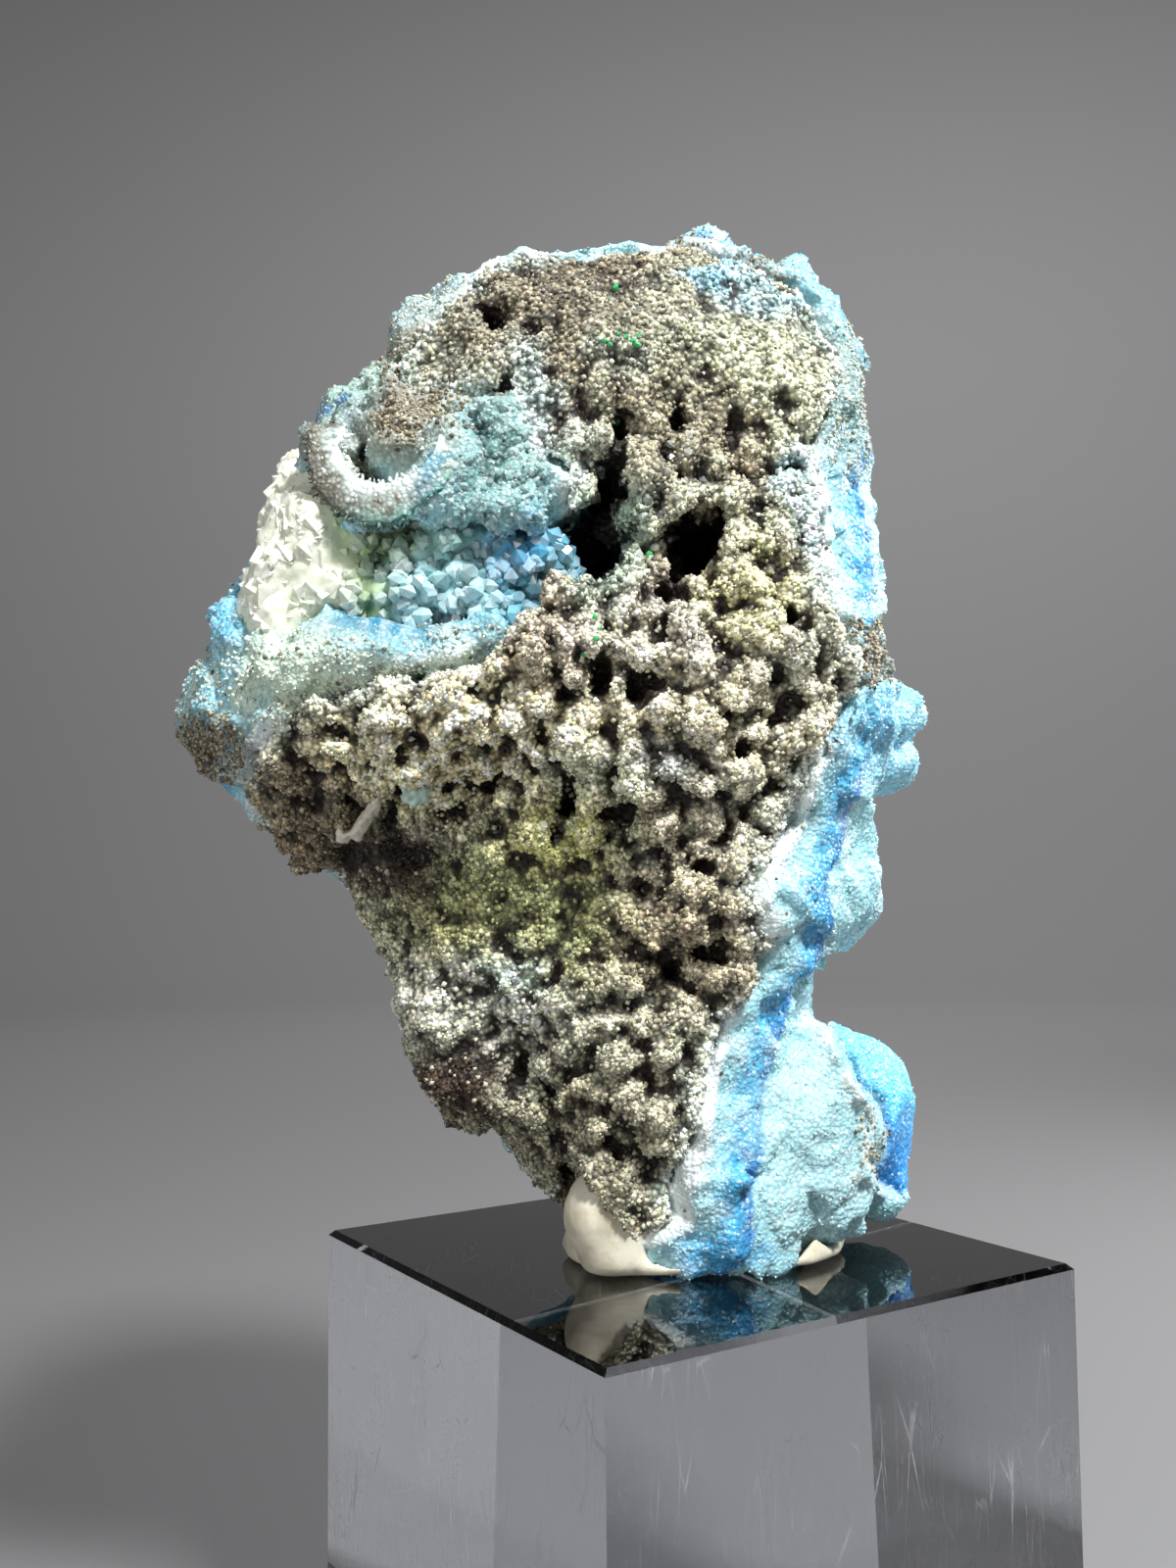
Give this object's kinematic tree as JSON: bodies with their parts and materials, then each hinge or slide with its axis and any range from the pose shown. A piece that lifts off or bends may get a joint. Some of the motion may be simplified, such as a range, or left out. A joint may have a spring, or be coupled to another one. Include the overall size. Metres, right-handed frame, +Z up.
{
  "type": "hemimorphite specimen on a display block",
  "caption": "Blue hemimorphite crust on rough brown limonite with a crystal-lined vug, held upright by putty on a clear acrylic display block.",
  "frame": {"origin": "centre of the display block's underside", "axes": "+Z up, the face of the stone with the vug looks along -Y, +X to the right of someone facing it"},
  "size_m": [0.081, 0.069, 0.1469],
  "materials": {
    "limonite": "rough and grainy",
    "hemimorphite": "sugary, slightly translucent",
    "crystals": "small bright translucent crystals",
    "putty": "soft and matte",
    "acrylic": "clear, polished, lightly scratched"
  },
  "bodies": {
    "root": {"matrix": "limonite", "hemimorphite_crust": "hemimorphite", "vug_crystals": "crystals", "putty": "putty", "display_block": "acrylic"}
  },
  "joints": []
}
